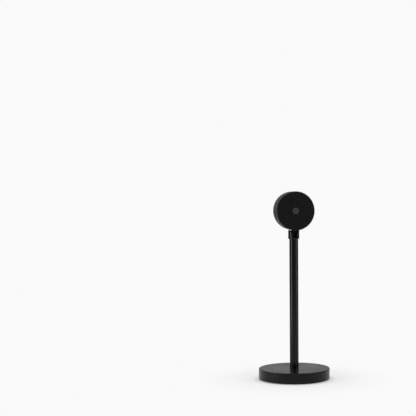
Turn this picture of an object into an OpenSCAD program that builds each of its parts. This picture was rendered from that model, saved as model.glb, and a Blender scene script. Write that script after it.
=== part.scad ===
// Sunset projection lamp: a weighted round base, a straight pole, and a drum head
// that swivels and tilts on a forked neck and throws its beam through a front lens.
// Millimetres. +Z is up, the beam points along +Y, and the origin is on the table
// under the middle of the base.

/* [Base] */
// Diameter of the round base
base_d = 100; // [92:1:130]
// Height of the base above the table, foot pad included
base_h = 15.5; // [13.5:0.5:22]
// Thickness of the shell's rim
rim_t = 2.2; // [1.8:0.1:3]
// Thickness of the shell's top
top_t = 2; // [1.8:0.1:2.4]
// Radius of the shell's rounded top edge
base_edge_r = 0.9; // [0.8:0.1:1.7]
// Thickness of the foam foot pad
pad_t = 1.5; // [1.2:0.1:2]
// How far the pad stands out below the rim
pad_proud = 1; // [0.6:0.1:1.1]
// Width of rim and plate left bare round the pad
pad_inset = 4; // [3:0.5:8]
// Thickness of the plate that closes the base
plate_t = 1.2; // [1:0.1:1.6]
// Diameter of the hole through the middle of the ballast
ballast_bore_d = 28; // [25:1:34]
// Diameter of the three bosses that take the plate's screws
boss_d = 7; // [6.5:0.5:9]
// Radius of the circle that the bosses stand on
boss_ring_r = 36; // [32:0.5:37]

/* [Power inlet] */
// Width of the inlet's metal shell
inlet_w = 8.94; // [8.5:0.02:9.5]
// Height of the inlet's metal shell
inlet_h = 3.16; // [3:0.02:3.5]
// Length of the inlet's metal shell
inlet_l = 7.35; // [6.9:0.05:9]
// Sheet thickness of the inlet's metal shell
inlet_wall = 0.3; // [0.2:0.05:0.4]
// Height of the inlet's centre above the table
inlet_z = 7.2; // [6.9:0.1:7.4]
// Depth of the flat seat that is milled into the rim round the inlet
recess_depth = 0.8; // [0.7:0.1:1.2]
// Width of that flat seat
recess_w = 13; // [12.4:0.1:14]
// Height of that flat seat
recess_h = 7; // [6.6:0.1:7.4]
// Width of the board that carries the inlet
board_w = 20; // [18:0.5:21]
// Length of the board that carries the inlet
board_l = 22; // [21:0.5:24]
// Thickness of the board that carries the inlet
board_t = 1.2; // [1:0.1:1.6]

/* [Pole] */
// Outside diameter of the pole
pole_d = 12.5; // [11.8:0.1:13.2]
// Wall of the pole's tube
pole_wall = 1.25; // [0.8:0.05:1.3]
// Length of the pole's tube
pole_l = 182.2; // [120:0.1:320]
// Depth of the seat in the base that the pole stands in
pole_seat = 0.5; // [0.3:0.1:0.8]
// Wall of the threaded plug in the pole's foot
plug_wall = 1; // [0.8:0.05:1.2]
// Length of the threaded plug in the pole's foot
plug_l = 14; // [10:0.5:30]
// Bore of the hollow stud that holds the pole to the base
nipple_bore = 5; // [4.6:0.1:5.4]

/* [Neck] */
// Diameter of the forked yoke on top of the pole
yoke_d = 15.6; // [14:0.1:17]
// Thickness of the head's tongue between the cheeks of the fork
tongue_t = 5; // [4.6:0.1:5.6]
// Width of the head's tongue across its rounded end
tongue_w = 6; // [5.6:0.1:6.6]
// Diameter of the bolt that the head tilts on
tilt_bolt_d = 2.5; // [2:0.1:2.6]
// Depth of the seats for the bolt's head and nut in the cheeks
bolt_recess = 2.3; // [2:0.1:2.6]
// Gap between the cheeks' hollowed tops and the drum
neck_gap = 0.3; // [0.2:0.1:1]
// Thickness of each friction washer beside the tongue
friction_t = 0.5; // [0.3:0.05:0.8]
// Thickness of the yoke's floor under the fork
floor_t = 0.9; // [0.8:0.1:3]
// Wall of the bush that the yoke's stem turns in
bush_wall = 1; // [0.7:0.05:1.2]
// Length of the bush that the yoke's stem turns in
bush_l = 12; // [8:0.5:20]
// Bore of the yoke's hollow stem, which the leads run through
stem_bore = 4.6; // [4.2:0.1:4.8]
// Thickness of the slip washer between pole and yoke
slip_t = 0.4; // [0.3:0.05:0.8]

/* [Head] */
// Diameter of the drum at its rear face
head_d = 55; // [52.4:0.2:62]
// How much the drum narrows from rear to front, as a casting needs
head_taper = 1.2; // [0.2:0.1:1.4]
// Depth of the drum from rear face to front rim
head_depth = 24; // [23.6:0.2:30]
// Width of the chamfer on the drum's rear and front edges
head_edge = 0.8; // [0.4:0.1:1]
// Wall of the drum round the optics
head_wall = 2.1; // [1.8:0.1:2.3]
// Thickness of the drum's rear wall
rear_t = 1.8; // [1.5:0.1:2.2]
// Width of the ledge that the heat spreader sits on
ledge_w = 1.5; // [1:0.1:1.8]
// Width of the shadow gap between drum and front bezel
seam_w = 0.4; // [0.2:0.05:0.6]
// Depth of the shadow gap between drum and front bezel
seam_depth = 0.8; // [0.4:0.05:1]

/* [Button] */
// Diameter of the push button in the middle of the rear face
button_d = 9; // [8:0.1:10]
// How far the button stands out of the rear face
button_proud = 0.6; // [0.5:0.05:1]
// How far the button travels when it is pressed
button_travel = 0.4; // [0.25:0.05:0.5]
// Diameter of the dimple in the button
dimple_d = 1.5; // [1:0.1:2]

/* [Electronics] */
// Room between the rear wall and the driver board
switch_space = 3.6; // [3.4:0.1:4.4]
// Clearance round the driver board, to the drum's wall
driver_gap = 1.3; // [0.8:0.1:2.3]
// Thickness of the round driver board
driver_t = 1; // [0.8:0.1:1.2]
// Thickness of the aluminium heat spreader
spreader_t = 2.5; // [2.3:0.1:3]
// Diameter of the board under the light source
led_board_d = 29; // [28:0.5:30]
// Thickness of the board under the light source
led_board_t = 1.5; // [1.2:0.1:1.5]
// Diameter of each insulated lead
wire_d = 0.9; // [0.6:0.05:0.95]

/* [Optics] */
// Wall of the front bezel where it screws into the drum, round the lens
bezel_wall = 2.8; // [2.6:0.1:4.8]
// Thickness of the lens at its edge
lens_edge_t = 2.5; // [2:0.1:3]
// Height of the lens's dome above its flat rim
lens_rise = 4.4; // [3:0.1:5]
// Width of the lens's flat rim
lens_rim = 1.6; // [1.2:0.1:2]
// Thickness of the coated colour filter
filter_t = 1.1; // [0.8:0.1:1.6]
// Distance from the heat spreader to the filter's seat
funnel_h = 6.1; // [5.8:0.1:7]
// Thickness of the ring that seals the lens
gasket_t = 1; // [0.6:0.1:1.2]

/* [Hidden] */
$fn = 96;

// Clearances: a running fit, a loose hole for a screw, and a plain assembly gap
fit = 0.02;
loose = 0.1;
gap = 0.2;
// Cuts run this far past the faces that they open, and joined solids overlap by it
past = 1;
weld = 0.4;

// Base, from the table up
pad_r = base_d / 2 - pad_inset;
rim_z = pad_proud;
plate_z = pad_t;
plate_top = plate_z + plate_t;
ceiling_z = base_h - top_t;
cavity_r = base_d / 2 - rim_t;
rim_chamfer = 0.5;
boss_angles = [30, 150, 270];
plate_screw_d = 3;
plate_screw_head_d = 5.6;
plate_screw_l = 7;

// Power inlet and its board
inlet_y = base_d / 2 - recess_depth;
board_top = inlet_z - inlet_h / 2;
board_edge_y = sqrt(pow(cavity_r, 2) - pow(board_w / 2, 2)) - 0.5;
board_back_y = board_edge_y - board_l;
bay_gap = 1;
tongue_plate = [6.69, 0.7, 4.45];
post_d = 4.6;
post_x = board_w / 2 - post_d / 2 - 0.5;
post_y = board_back_y + post_d / 2 + 0.5;
board_screw_d = 2;
board_screw_l = 5;
board_screw_head = [3.6, 1.2];
power_chip = [4.4, 5, 1.1];
power_chip_at = [-6.5, 9];
power_coil = [6, 3];
power_coil_at = [4.6, 11.5];
capacitor = [1.6, 0.9, 0.9];
power_capacitors_at = [[-6, 6], [-2.6, 6]];

// Pole and the stud that holds it down
pole_z = base_h - pole_seat;
pole_top = pole_z + pole_l;
pole_bore = pole_d - 2 * pole_wall;
nipple_d = pole_bore - 2 * plug_wall;
nipple_washer_t = 1.2;
nipple_washer_d = 20;
nipple_nut_t = 3;
nipple_nut_af = 13;
nipple_nut_z = ceiling_z - nipple_washer_t - nipple_nut_t;
nipple_z = nipple_nut_z - 0.5;
nipple_l = pole_z + plug_l - 2 - nipple_z;

// Swivel, from the pole's top
yoke_z = pole_top + slip_t + fit;
stem_d = pole_bore - 2 * bush_wall - 2 * fit;
spring_t = 0.3;
spring_h = 0.75;
ring_nut_t = 2.8;
ring_nut_d = pole_bore - 2 * gap;
bush_z = pole_top - bush_l;
spring_z = bush_z - fit - spring_h;
ring_nut_z = spring_z - ring_nut_t;
stem_z = ring_nut_z - 0.5;

// Fork and tongue
slot_w = tongue_t + 2 * (friction_t + 2 * fit);
pivot_z = yoke_z + floor_t + gap + tongue_w / 2;
slot_floor_z = pivot_z - tongue_w / 2 - gap;
yoke_chamfer = 0.4;
bolt_seat_x = yoke_d / 2 - bolt_recess;
bolt_head = [4.4, 1.6];
bolt_socket_af = 2;
bolt_socket_h = 1;
tilt_nut_af = 5;
tilt_nut_t = 1.6;
friction_d = tongue_w - 0.4;

// Head: its centre, and the places along the beam measured from that centre
head_z = pivot_z + yoke_d / 2 + neck_gap + head_d / 2;
rear_y = -head_depth / 2;
front_y = head_depth / 2;
rear_inner_y = rear_y + rear_t;
driver_y = rear_inner_y + switch_space;
ledge_y = driver_y + driver_t + 0.4;
spreader_front_y = ledge_y + spreader_t;
filter_y = spreader_front_y + funnel_h;
lens_y = filter_y + filter_t;
lens_rim_y = lens_y + lens_edge_t;
seam_y = lens_rim_y;
lip_y = lens_rim_y + gasket_t;
led_front_y = spreader_front_y + led_board_t;

// Head: radii about the beam
head_front_d = head_d - head_taper;
bore_r = head_front_d / 2 - head_wall;
rear_bore_r = bore_r - ledge_w;
collar_t = 1.75;
spigot_bore_r = bore_r - bezel_wall;
collar_r = spigot_bore_r - loose;
seat_r = collar_r - collar_t;
lens_r = seat_r - 0.15;
lip_r = lens_r - lens_rim + 0.1;
lip_t = 1;
mouth_r = lip_r + 4.1;
shoulder_y = filter_y + 1;
driver_r = rear_bore_r - driver_gap;
driver_post_d = 4.6;
driver_post_ring_r = driver_r - 3.5;
driver_post_angles = [-90, 30, 150];
driver_chip = [5, 5, 1.2];
driver_chip_at = [7, -3];
driver_coil = [6, 2.6];
driver_coil_at = [-11, 1];
driver_capacitors_at = [[-4.8, 9], [-0.8, 9], [3.2, 9]];
driver_screw_d = 2;
driver_screw_l = 3;
driver_screw_head = [3.6, 0.4];
notch_w = 10.5;
turn_r = driver_r - 1.7;
notch_r = turn_r - 1.9;

// Lug that joins the tongue to the drum, and its hollow stud
lug_seat_r = head_r(0) - 0.4;
lug_flat_r = bore_r - 0.6;
stud_d = 4;
stud_bore = 2.3;
lug_nut_af = 7;
lug_nut_t = 2.2;
stud_end_r = lug_flat_r - lug_nut_t - 0.5;

// Button and the switch behind it
flange_d = button_d + 2.4;
flange_t = 0.8;
button_inner_y = rear_inner_y + 0.05 + flange_t;
plunger_d = 3.3;
plunger_y = button_inner_y + 0.05;
switch_case = [6, 6, 1.9];
switch_front_y = driver_y;
switch_back_y = switch_front_y - switch_case[2];

// Light source
led_screw_ring_r = 11.8;
led_screw_d = 2;
led_screw_head = [3.6, 0.8];
led_base = [6.5, 0.5];
dome_r = 2.4;
dome_h = 1.1;
lead_hole_y = 9.4;
lead_hole_d = 3.2;

// Leads: a pair lies side by side, and its runs are [length, 0] or [bend radius, angle]
wire_pitch = wire_d + 0.1;
rise_y = -1.2;
rise_bend = 3;
lead_z = board_top + 0.05 + wire_d / 2;
lead_start_y = board_back_y + 3;
groove_w = 2 * wire_pitch + 0.4;
groove_depth = wire_d + 0.4;
groove_y = -(tongue_w / 2 - groove_depth / 2);
groove_top_z = pivot_z + tilt_bolt_d / 2 + 1.15;
cross_bend = -groove_y / 2;
turn_bend = 1.6;

// Finishes
shell_black = [0.07, 0.07, 0.07];
head_black = [0.06, 0.06, 0.06];
button_grey = [0.16, 0.16, 0.16];
iron = [0.25, 0.24, 0.23];
steel = [0.62, 0.63, 0.65];
brass = [0.72, 0.57, 0.3];
board_green = [0.05, 0.25, 0.13];
foam_black = [0.05, 0.05, 0.05];
nylon = [0.86, 0.85, 0.8];
silver = [0.75, 0.76, 0.78];
white = [0.9, 0.9, 0.88];
phosphor = [0.95, 0.78, 0.2];
amber = [1, 0.45, 0.06, 0.75];
clear = [0.86, 0.92, 0.95, 0.35];
plastic_black = [0.03, 0.03, 0.03];
wire_red = [0.6, 0.04, 0.03];
wire_black = [0.03, 0.03, 0.03];

// Radius of the drum's outer wall at a place along the beam
function head_r(y) =
    head_d / 2 - (head_d - head_front_d) / 2 * (y - rear_y - head_edge) / (head_depth - 2 * head_edge);

// Stands a shape on the beam: what points along +Z inside points along +Y on the lamp,
// and what lies towards +Y inside lies at the bottom of the drum
module on_beam() {
    translate([0, 0, head_z]) rotate([-90, 0, 0]) children();
}

module on_circle(angle, radius) {
    translate([radius * cos(angle), radius * sin(angle), 0]) children();
}

module ring(outer_d, inner_d, h) {
    difference() {
        cylinder(d = outer_d, h = h);
        translate([0, 0, -past]) cylinder(d = inner_d, h = h + 2 * past);
    }
}

module hex_nut(across_flats, bore_d, h) {
    difference() {
        cylinder(d = across_flats / cos(30), h = h, $fn = 6);
        translate([0, 0, -past]) cylinder(d = bore_d, h = h + 2 * past);
    }
}

// A slot with round ends, w wide and h high, drawn along +Y
module stadium(w, h, l) {
    rotate([-90, 0, 0]) linear_extrude(l) {
        square([w - h, h], center = true);
        for (side = [-1, 1]) translate([side * (w - h) / 2, 0]) circle(d = h);
    }
}

// A screw that points along +Z, with its head below z = 0
module pan_screw(d, l, head) {
    translate([0, 0, -head[1]]) cylinder(d = head[0], h = head[1]);
    cylinder(d = d, h = l);
}

// A lead that starts along +Z and bends towards +Y, or towards -Y where the angle is negative
module lead_run(runs, d) {
    if (len(runs) > 0) {
        size = runs[0][0];
        angle = runs[0][1];
        side = angle < 0 ? -1 : 1;
        rest = [for (i = [1:1:len(runs) - 1]) runs[i]];
        if (angle == 0) {
            cylinder(d = d, h = size);
            translate([0, 0, size]) lead_run(rest, d);
        } else {
            translate([0, side * size, 0]) rotate([0, -90, 0])
                rotate([0, 0, side > 0 ? -90 : 90 - abs(angle)])
                    rotate_extrude(angle = abs(angle)) translate([size, 0]) circle(d = d);
            translate([0, side * size * (1 - cos(angle)), size * sin(abs(angle))])
                rotate([-angle, 0, 0]) lead_run(rest, d);
        }
    }
}

module lead_pair(runs) {
    for (side = [-1, 1])
        color(side < 0 ? wire_red : wire_black)
            translate([side * wire_pitch / 2, 0, 0]) lead_run(runs, wire_d);
}

// ---- Base ----

module base_profile() {
    h = base_h - rim_z;
    r = base_d / 2;
    polygon([[0, 0], [r - rim_chamfer, 0], [r, rim_chamfer], [r, h - base_edge_r],
             [r - base_edge_r, h - base_edge_r], [r - base_edge_r, h], [0, h]]);
    translate([r - base_edge_r, h - base_edge_r]) circle(r = base_edge_r);
}

module inlet_cut() {
    translate([0, inlet_y, inlet_z]) stadium(recess_w, recess_h, rim_t + past);
    translate([0, inlet_y - rim_t - past, inlet_z])
        stadium(inlet_w + 2 * gap, inlet_h + 2 * gap, 2 * rim_t + past);
}

module base_shell() {
    color(shell_black) difference() {
        union() {
            difference() {
                translate([0, 0, rim_z]) rotate_extrude() base_profile();
                translate([0, 0, rim_z - past]) cylinder(r = cavity_r, h = ceiling_z - rim_z + past);
            }
            for (a = boss_angles) on_circle(a, boss_ring_r)
                translate([0, 0, plate_top]) cylinder(d = boss_d, h = ceiling_z - plate_top + weld);
            for (side = [-1, 1]) translate([side * post_x, post_y, board_top])
                cylinder(d = post_d, h = ceiling_z - board_top + weld);
        }
        translate([0, 0, ceiling_z - past]) cylinder(d = nipple_d + 2 * loose, h = top_t + 2 * past);
        translate([0, 0, pole_z]) cylinder(d = pole_d + 2 * loose, h = pole_seat + past);
        for (a = boss_angles) on_circle(a, boss_ring_r)
            translate([0, 0, plate_top - past]) cylinder(d = plate_screw_d, h = plate_screw_l + past);
        for (side = [-1, 1]) translate([side * post_x, post_y, board_top - past])
            cylinder(d = board_screw_d, h = board_screw_l - board_t + past);
        inlet_cut();
    }
}

module ballast() {
    h = ceiling_z - plate_top;
    color(iron) difference() {
        translate([0, 0, plate_top]) cylinder(r = cavity_r - gap, h = h);
        translate([0, 0, plate_top - past]) cylinder(d = ballast_bore_d, h = h + 2 * past);
        translate([-board_w / 2 - bay_gap, board_back_y - bay_gap, plate_top - past])
            cube([board_w + 2 * bay_gap, base_d, h + 2 * past]);
        translate([-groove_w, 0, plate_top - past])
            cube([2 * groove_w, board_back_y, lead_z + wire_d + past - plate_top]);
        for (a = boss_angles) on_circle(a, boss_ring_r)
            translate([0, 0, plate_top - past]) cylinder(d = boss_d + 2 * gap, h = h + 2 * past);
    }
}

module bottom_plate() {
    color(steel) difference() {
        translate([0, 0, plate_z]) cylinder(r = cavity_r - gap / 2, h = plate_t);
        for (a = boss_angles) on_circle(a, boss_ring_r) translate([0, 0, plate_z]) countersink();
    }
}

// The cone that a plate screw's head fills
module countersink() {
    cylinder(d1 = plate_screw_head_d, d2 = plate_screw_d, h = plate_t);
}

module foot_pad() {
    color(foam_black) cylinder(r = pad_r, h = pad_t);
}

module plate_screws() {
    color(steel) for (a = boss_angles) on_circle(a, boss_ring_r) translate([0, 0, plate_z]) {
        countersink();
        translate([0, 0, plate_t]) cylinder(d = plate_screw_d, h = plate_screw_l - 0.5);
    }
}

module inlet_shell() {
    color(steel) translate([0, inlet_y - inlet_l, inlet_z]) difference() {
        stadium(inlet_w, inlet_h, inlet_l);
        translate([0, -past, 0])
            stadium(inlet_w - 2 * inlet_wall, inlet_h - 2 * inlet_wall, inlet_l + 2 * past);
    }
}

module inlet_insert() {
    block_l = inlet_l - tongue_plate[2] - 0.6;
    color(plastic_black) translate([0, inlet_y - inlet_l, inlet_z]) {
        stadium(inlet_w - 2 * inlet_wall, inlet_h - 2 * inlet_wall, block_l);
        translate([-tongue_plate[0] / 2, block_l - weld, -tongue_plate[1] / 2])
            cube([tongue_plate[0], tongue_plate[2] + weld, tongue_plate[1]]);
    }
}

// A chip or capacitor, and a coil, that stand on a board's face at z = 0
module board_block(size, at) {
    translate([at[0], at[1], -weld]) cube([size[0], size[1], size[2] + weld]);
}

module board_coil(size, at) {
    translate([at[0], at[1], -weld]) cylinder(d = size[0], h = size[1] + weld);
}

module power_board() {
    color(board_green) {
        difference() {
            translate([-board_w / 2, board_back_y, board_top - board_t]) cube([board_w, board_l, board_t]);
            for (side = [-1, 1]) translate([side * post_x, post_y, board_top - board_t - past])
                cylinder(d = board_screw_d + 2 * loose, h = board_t + 2 * past);
        }
        translate([0, board_back_y, board_top]) {
            board_block(power_chip, power_chip_at);
            board_coil(power_coil, power_coil_at);
            for (at = power_capacitors_at) board_block(capacitor, at);
        }
    }
}

module board_screws() {
    color(steel) for (side = [-1, 1]) translate([side * post_x, post_y, board_top - board_t])
        pan_screw(board_screw_d, board_screw_l - 0.4, board_screw_head);
}

// ---- Pole ----

module pole_nipple() {
    color(brass) translate([0, 0, nipple_z]) ring(nipple_d, nipple_bore, nipple_l);
}

module nipple_washer() {
    color(steel) translate([0, 0, ceiling_z - nipple_washer_t])
        ring(nipple_washer_d, nipple_d + 2 * loose, nipple_washer_t);
}

module nipple_nut() {
    color(steel) translate([0, 0, nipple_nut_z]) hex_nut(nipple_nut_af, nipple_d, nipple_nut_t);
}

module pole_tube() {
    color(shell_black) translate([0, 0, pole_z]) ring(pole_d, pole_bore, pole_l);
}

module pole_plug() {
    color(brass) translate([0, 0, pole_z]) ring(pole_bore, nipple_d, plug_l);
}

module swivel_bush() {
    color(brass) translate([0, 0, bush_z]) ring(pole_bore, stem_d + 2 * fit, bush_l);
}

module slip_washer() {
    color(nylon) translate([0, 0, pole_top]) ring(pole_d, stem_d + 2 * loose, slip_t);
}

// Two leads from the inlet's board, along the base and up the pole to the fork's floor
module supply_lead() {
    across = lead_start_y - rise_y - rise_bend;
    up = slot_floor_z - lead_z - rise_bend;
    translate([0, lead_start_y, lead_z]) rotate([90, 0, 0])
        lead_pair([[across, 0], [rise_bend, 90], [up, 0]]);
}

// ---- Neck ----

module neck_yoke() {
    skirt = pivot_z - yoke_z;
    color(shell_black) difference() {
        union() {
            difference() {
                translate([0, 0, yoke_z]) cylinder(d = yoke_d, h = skirt + yoke_d);
                yoke_crown();
                translate([0, 0, yoke_z]) rotate_extrude() translate([yoke_d / 2, 0])
                    polygon([[-yoke_chamfer, 0], [past, -past], [past, yoke_chamfer + past], [0, yoke_chamfer]]);
            }
            translate([0, 0, stem_z]) cylinder(d = stem_d, h = yoke_z - stem_z + weld);
        }
        translate([-slot_w / 2, -yoke_d, slot_floor_z]) cube([slot_w, 2 * yoke_d, yoke_d * 2]);
        translate([0, 0, stem_z - past]) cylinder(d = stem_bore, h = slot_floor_z - stem_z + 2 * past);
        translate([0, 0, pivot_z]) rotate([0, 90, 0]) {
            translate([0, 0, -yoke_d]) cylinder(d = tilt_bolt_d + 2 * loose, h = 2 * yoke_d);
            translate([0, 0, -yoke_d]) cylinder(d = bolt_head[0] + 2 * loose, h = yoke_d - bolt_seat_x);
            translate([0, 0, bolt_seat_x])
                cylinder(d = (tilt_nut_af + loose) / cos(30), h = yoke_d, $fn = 6);
        }
    }
}

// What is cut away above the pivot to leave the cheeks: their tops are round about the bolt
// and hollowed to the drum's curve, so that the drum rolls past them at an even gap
module yoke_crown() {
    drum_drop = head_z - pivot_z;
    difference() {
        translate([-yoke_d, -yoke_d, pivot_z]) cube([2 * yoke_d, 2 * yoke_d, 2 * yoke_d]);
        translate([0, 0, pivot_z]) rotate([0, 90, 0]) rotate_extrude() difference() {
            translate([0, -yoke_d / 2 - past]) square([yoke_d, yoke_d + 2 * past]);
            translate([drum_drop, 0]) circle(d = head_d + 2 * neck_gap, $fn = 360);
        }
    }
}

module spring_washer() {
    color(steel) translate([0, 0, spring_z]) rotate_extrude() polygon([
        [stem_d / 2 + loose / 2, spring_h - spring_t], [ring_nut_d / 2, 0],
        [ring_nut_d / 2, spring_t], [stem_d / 2 + loose / 2, spring_h]
    ]);
}

module ring_nut() {
    color(steel) translate([0, 0, ring_nut_z]) difference() {
        ring(ring_nut_d, stem_d, ring_nut_t);
        translate([-ring_nut_d, -0.6, -past]) cube([2 * ring_nut_d, 1.2, past + 0.8]);
    }
}

module tilt_bolt() {
    color(plastic_black) translate([0, 0, pivot_z]) rotate([0, 90, 0]) difference() {
        translate([0, 0, -bolt_seat_x])
            pan_screw(tilt_bolt_d, 2 * bolt_seat_x + tilt_nut_t, bolt_head);
        translate([0, 0, -bolt_seat_x - bolt_head[1] - past])
            cylinder(d = bolt_socket_af / cos(30), h = bolt_socket_h + past, $fn = 6);
    }
}

module tilt_nut() {
    color(plastic_black) translate([bolt_seat_x, 0, pivot_z]) rotate([0, 90, 0])
        hex_nut(tilt_nut_af, tilt_bolt_d, tilt_nut_t);
}

module friction_washers() {
    color(nylon) for (side = [-1, 1])
        translate([side * (tongue_t / 2 + fit + friction_t / 2), 0, pivot_z]) rotate([0, 90, 0])
            translate([0, 0, -friction_t / 2]) ring(friction_d, tilt_bolt_d + 2 * loose, friction_t);
}

// ---- Head ----

// Tongue that tilts between the cheeks, with a groove down its rear edge for the leads
module tilt_lug() {
    seat_z = head_z - lug_seat_r;
    color(shell_black) difference() {
        union() {
            translate([-tongue_t / 2, 0, pivot_z]) rotate([0, 90, 0]) cylinder(d = tongue_w, h = tongue_t);
            translate([-tongue_t / 2, -tongue_w / 2, pivot_z]) cube([tongue_t, tongue_w, seat_z - pivot_z]);
            translate([0, 0, seat_z - weld]) cylinder(d = stud_d, h = lug_seat_r - stud_end_r + weld);
        }
        translate([-tongue_t, 0, pivot_z]) rotate([0, 90, 0])
            cylinder(d = tilt_bolt_d + 2 * fit, h = 2 * tongue_t);
        translate([-groove_w / 2, -tongue_w / 2 - past, pivot_z - tongue_w])
            cube([groove_w, groove_depth + past, groove_top_z - pivot_z + tongue_w]);
        translate([-groove_w / 2, -tongue_w / 2 - past, groove_top_z - 0.2])
            cube([groove_w, tongue_w / 2 + stud_bore / 2 + past, 2 * cross_bend + 0.4]);
        translate([0, 0, groove_top_z]) cylinder(d = stud_bore, h = lug_seat_r);
    }
}

module lug_nut() {
    color(steel) translate([0, 0, head_z - lug_flat_r]) hex_nut(lug_nut_af, stud_d, lug_nut_t);
}

module drum_profile() {
    polygon([
        [0, rear_y], [head_r(rear_y + head_edge) - head_edge, rear_y],
        [head_r(rear_y + head_edge), rear_y + head_edge], [head_r(seam_y), seam_y],
        [bore_r, seam_y], [bore_r, ledge_y], [rear_bore_r, ledge_y],
        [rear_bore_r, rear_inner_y], [0, rear_inner_y]
    ]);
}

module head_housing() {
    nut_pad_w = lug_nut_af + 2;
    nut_pad_l = lug_nut_af + gap;
    color(head_black) on_beam() difference() {
        union() {
            rotate_extrude() drum_profile();
            for (a = driver_post_angles) on_circle(a, driver_post_ring_r)
                translate([0, 0, rear_inner_y - weld])
                    cylinder(d = driver_post_d, h = switch_space + weld);
            // Flat pad inside the wall, which the lug's nut bears on
            intersection() {
                translate([-nut_pad_w / 2, lug_flat_r, -nut_pad_l / 2])
                    cube([nut_pad_w, head_wall, nut_pad_l]);
                translate([0, 0, -nut_pad_l]) cylinder(r = bore_r + weld, h = 2 * nut_pad_l);
            }
        }
        translate([0, 0, rear_y - past]) cylinder(d = button_d + 2 * loose, h = rear_t + 2 * past);
        for (a = driver_post_angles) on_circle(a, driver_post_ring_r)
            translate([0, 0, driver_y - driver_screw_l]) cylinder(d = driver_screw_d, h = driver_screw_l + past);
        translate([-tongue_t / 2 - loose / 2, lug_seat_r, -tongue_w / 2 - loose / 2])
            cube([tongue_t + loose, head_d, tongue_w + loose]);
        rotate([-90, 0, 0]) cylinder(d = stud_d + 2 * loose, h = head_d);
    }
}

module driver_board() {
    color(board_green) on_beam() difference() {
        union() {
            translate([0, 0, driver_y]) cylinder(r = driver_r, h = driver_t);
            // What the board carries is on the side that faces the rear wall
            translate([0, 0, driver_y]) mirror([0, 0, 1]) {
                board_block(driver_chip, driver_chip_at);
                board_coil(driver_coil, driver_coil_at);
                for (at = driver_capacitors_at) board_block(capacitor, at);
            }
        }
        for (a = driver_post_angles) on_circle(a, driver_post_ring_r)
            translate([0, 0, driver_y - past])
                cylinder(d = driver_screw_d + 2 * loose, h = driver_t + 2 * past);
    }
}

module driver_screws() {
    color(steel) on_beam() for (a = driver_post_angles) on_circle(a, driver_post_ring_r)
        translate([0, 0, driver_y + driver_t]) mirror([0, 0, 1])
            pan_screw(driver_screw_d, driver_t + driver_screw_l - 0.3, driver_screw_head);
}

module switch_body() {
    color(plastic_black) on_beam() difference() {
        translate([-switch_case[0] / 2, -switch_case[1] / 2, switch_back_y]) cube(switch_case);
        translate([0, 0, switch_back_y - past])
            cylinder(d = plunger_d + 2 * loose, h = past + button_travel + 0.6);
    }
}

module heat_spreader() {
    color(silver) on_beam() difference() {
        translate([0, 0, ledge_y]) cylinder(r = bore_r - loose, h = spreader_t);
        translate([-notch_w / 2, notch_r, ledge_y - past]) cube([notch_w, head_d, spreader_t + 2 * past]);
        for (side = [-1, 1]) translate([side * led_screw_ring_r, 0, ledge_y + 0.4])
            cylinder(d = led_screw_d, h = spreader_t);
        translate([0, lead_hole_y, ledge_y - past]) cylinder(d = lead_hole_d, h = spreader_t + 2 * past);
    }
}

module led_board() {
    color(white) on_beam() difference() {
        translate([0, 0, spreader_front_y]) cylinder(d = led_board_d, h = led_board_t);
        for (side = [-1, 1]) translate([side * led_screw_ring_r, 0, spreader_front_y - past])
            cylinder(d = led_screw_d + 2 * loose, h = led_board_t + 2 * past);
        translate([0, lead_hole_y, spreader_front_y - past])
            cylinder(d = lead_hole_d, h = led_board_t + 2 * past);
    }
}

module led_screws() {
    color(steel) on_beam() for (side = [-1, 1]) translate([side * led_screw_ring_r, 0, led_front_y])
        mirror([0, 0, 1]) pan_screw(led_screw_d, led_board_t + spreader_t - 0.6, led_screw_head);
}

module led_emitter() {
    sphere_r = (pow(dome_r, 2) + pow(dome_h, 2)) / (2 * dome_h);
    color(phosphor) on_beam() translate([0, 0, led_front_y]) {
        cylinder(d = led_base[0], h = led_base[1]);
        intersection() {
            translate([0, 0, led_base[1] + dome_h - sphere_r]) sphere(r = sphere_r);
            translate([0, 0, led_base[1] / 2]) cylinder(r = dome_r, h = sphere_r);
        }
    }
}

module led_leads() {
    color(wire_red) on_beam() for (side = [-1, 1])
        translate([side * wire_pitch / 2, lead_hole_y, driver_y + driver_t])
            cylinder(d = wire_d, h = led_front_y + 0.4 - driver_y - driver_t);
}

// Black funnel that carries filter and lens and keeps stray light off the drum's wall
module funnel_profile() {
    foot_r = bore_r - loose;
    floor_y = filter_y - 1.4;
    throat_r = 6;
    throat_y = led_front_y + 0.2;
    cone_r = seat_r - 1.35;
    polygon([
        [foot_r, spreader_front_y], [foot_r, shoulder_y], [collar_r, shoulder_y],
        [collar_r, lens_rim_y - 0.2], [seat_r, lens_rim_y - 0.2], [seat_r, filter_y],
        [cone_r, filter_y], [throat_r, throat_y + 1.2], [throat_r, throat_y],
        [cone_r - 0.2, floor_y], [foot_r - 2.3, floor_y], [foot_r - 2.3, spreader_front_y]
    ]);
}

module light_funnel() {
    color(plastic_black) on_beam() difference() {
        rotate_extrude() funnel_profile();
        translate([-notch_w / 2, stud_end_r - 0.9, spreader_front_y - past])
            cube([notch_w, head_d, lug_nut_af / 2 + gap - spreader_front_y + past]);
    }
}

module filter_glass() {
    color(amber) on_beam() translate([0, 0, filter_y]) cylinder(r = lens_r, h = filter_t);
}

module projection_lens() {
    dome_edge_r = lens_r - lens_rim;
    sphere_r = (pow(dome_edge_r, 2) + pow(lens_rise, 2)) / (2 * lens_rise);
    color(clear) on_beam() {
        translate([0, 0, lens_y]) cylinder(r = lens_r, h = lens_edge_t);
        intersection() {
            translate([0, 0, lens_rim_y + lens_rise - sphere_r]) sphere(r = sphere_r);
            translate([0, 0, lens_rim_y - weld]) cylinder(r = dome_edge_r, h = sphere_r);
        }
    }
}

module lens_gasket() {
    color(foam_black) on_beam() translate([0, 0, lens_rim_y])
        ring(2 * (spigot_bore_r - loose), 2 * (lens_r - lens_rim + loose), gasket_t);
}

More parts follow.
